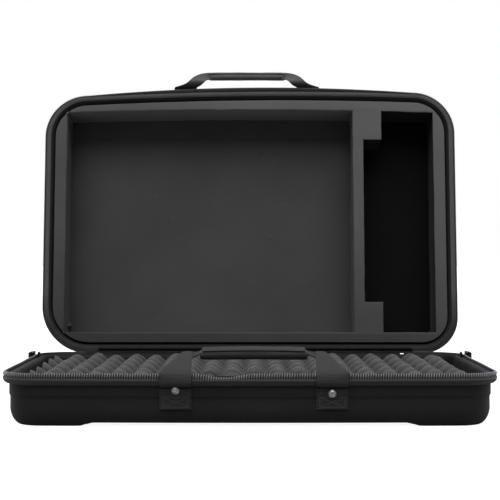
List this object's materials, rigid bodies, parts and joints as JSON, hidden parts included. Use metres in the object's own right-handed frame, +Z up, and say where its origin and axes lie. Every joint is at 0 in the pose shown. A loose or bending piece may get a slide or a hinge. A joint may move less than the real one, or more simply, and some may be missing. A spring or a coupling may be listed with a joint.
{
  "type": "zipped carry case",
  "caption": "Large moulded two-half zipped carry case, open, with egg-crate pad, compartment foam, webbing handles and a fabric hinge.",
  "frame": {"origin": "middle of the lower half's flat underside, between its corner feet", "axes": "+X to the right, +Y from the handle side to the hinge side, +Z up"},
  "size_m": [0.6112, 0.5331, 0.4781],
  "materials": {
    "moulded_shell": "woven polyester bonded to moulded EVA, satin",
    "binding_fabric": "folded woven piping, matt",
    "zip_tape": "herringbone zip tape",
    "zip_coil": "nylon coil with a soft shine",
    "rivet_metal": "domed steel caps",
    "webbing": "ribbed nylon webbing",
    "grip_fabric": "smooth wrapped fabric sleeve",
    "grip_foam": "closed-cell foam",
    "egg_crate_foam": "open-cell polyether foam, matt",
    "surround_foam": "closed-cell foam, matt",
    "floor_sheet": "smooth dark sheet with faint scuffs",
    "slider_metal": "black painted zinc"
  },
  "bodies": {
    "lower_half": {"lower_shell": "moulded_shell", "lower_rim_binding": "binding_fabric", "lower_zip_tape": "zip_tape", "lower_zip_coil": "zip_coil", "lower_handle_anchor_left": "webbing", "lower_rivet_left": "rivet_metal", "lower_rivet_washer_left": "rivet_metal", "lower_handle_anchor_right": "webbing", "lower_rivet_right": "rivet_metal", "lower_rivet_washer_right": "rivet_metal", "egg_crate_pad": "egg_crate_foam", "hinge_flap_lower": "binding_fabric", "zip_end_tab_left": "binding_fabric", "zip_end_tab_right": "binding_fabric"},
    "hinge": {"hinge_strip": "binding_fabric"},
    "upper_half": {"upper_shell": "moulded_shell", "upper_rim_binding": "binding_fabric", "upper_zip_tape": "zip_tape", "upper_zip_coil": "zip_coil", "upper_handle_anchor_left": "webbing", "upper_rivet_left": "rivet_metal", "upper_rivet_washer_left": "rivet_metal", "upper_handle_anchor_right": "webbing", "upper_rivet_right": "rivet_metal", "upper_rivet_washer_right": "rivet_metal", "foam_surround": "surround_foam", "foam_floor_sheet": "floor_sheet", "hinge_flap_upper": "binding_fabric"},
    "lower_handle": {"lower_handle_strap": "webbing", "lower_grip_core": "grip_foam", "lower_grip_wrap": "grip_fabric"},
    "upper_handle": {"upper_handle_strap": "webbing", "upper_grip_core": "grip_foam", "upper_grip_wrap": "grip_fabric"},
    "right_slider": {"zip_slider_right": "slider_metal"},
    "left_slider": {"zip_slider_left": "slider_metal"},
    "right_pull": {"zip_pull_right": "slider_metal"},
    "left_pull": {"zip_pull_left": "slider_metal"}
  },
  "joints": [
    {"name": "lid_lean_back", "type": "hinge", "parent": "lower_half", "child": "hinge", "pos_m": [0, 0.197, 0.0485], "axis": [-1, 0, 0], "range_deg": [0, 50]},
    {"name": "lid_close", "type": "hinge", "parent": "hinge", "child": "upper_half", "pos_m": [0, 0.197, 0.057], "axis": [1, 0, 0], "range_deg": [0, 98]},
    {"name": "lower_handle_swing", "type": "hinge", "parent": "lower_half", "child": "lower_handle", "pos_m": [0.0046, -0.2002, 0.0582], "axis": [1, 0, 0], "range_deg": [0, 164.2]},
    {"name": "upper_handle_swing", "type": "hinge", "parent": "upper_half", "child": "upper_handle", "pos_m": [-0.0046, 0.25749, 0.45293], "axis": [1, 0, 0], "range_deg": [-16, 64]},
    {"name": "right_slider_run", "type": "slide", "parent": "lower_half", "child": "right_slider", "axis": [0, -1, 0], "range_m": [0, 0.262]},
    {"name": "left_slider_run", "type": "slide", "parent": "lower_half", "child": "left_slider", "axis": [0, -1, 0], "range_m": [0, 0.262]},
    {"name": "right_pull_swing", "type": "hinge", "parent": "right_slider", "child": "right_pull", "pos_m": [0.3036, 0.134, 0.06], "axis": [0, 0, 1], "range_deg": [0, 172]},
    {"name": "left_pull_swing", "type": "hinge", "parent": "left_slider", "child": "left_pull", "pos_m": [-0.3036, 0.134, 0.06], "axis": [0, 0, -1], "range_deg": [0, 172]}
  ],
  "couplings": [
    {"joint": "lower_handle_swing", "follows": "lid_close", "ratio": 1.6735}
  ]
}
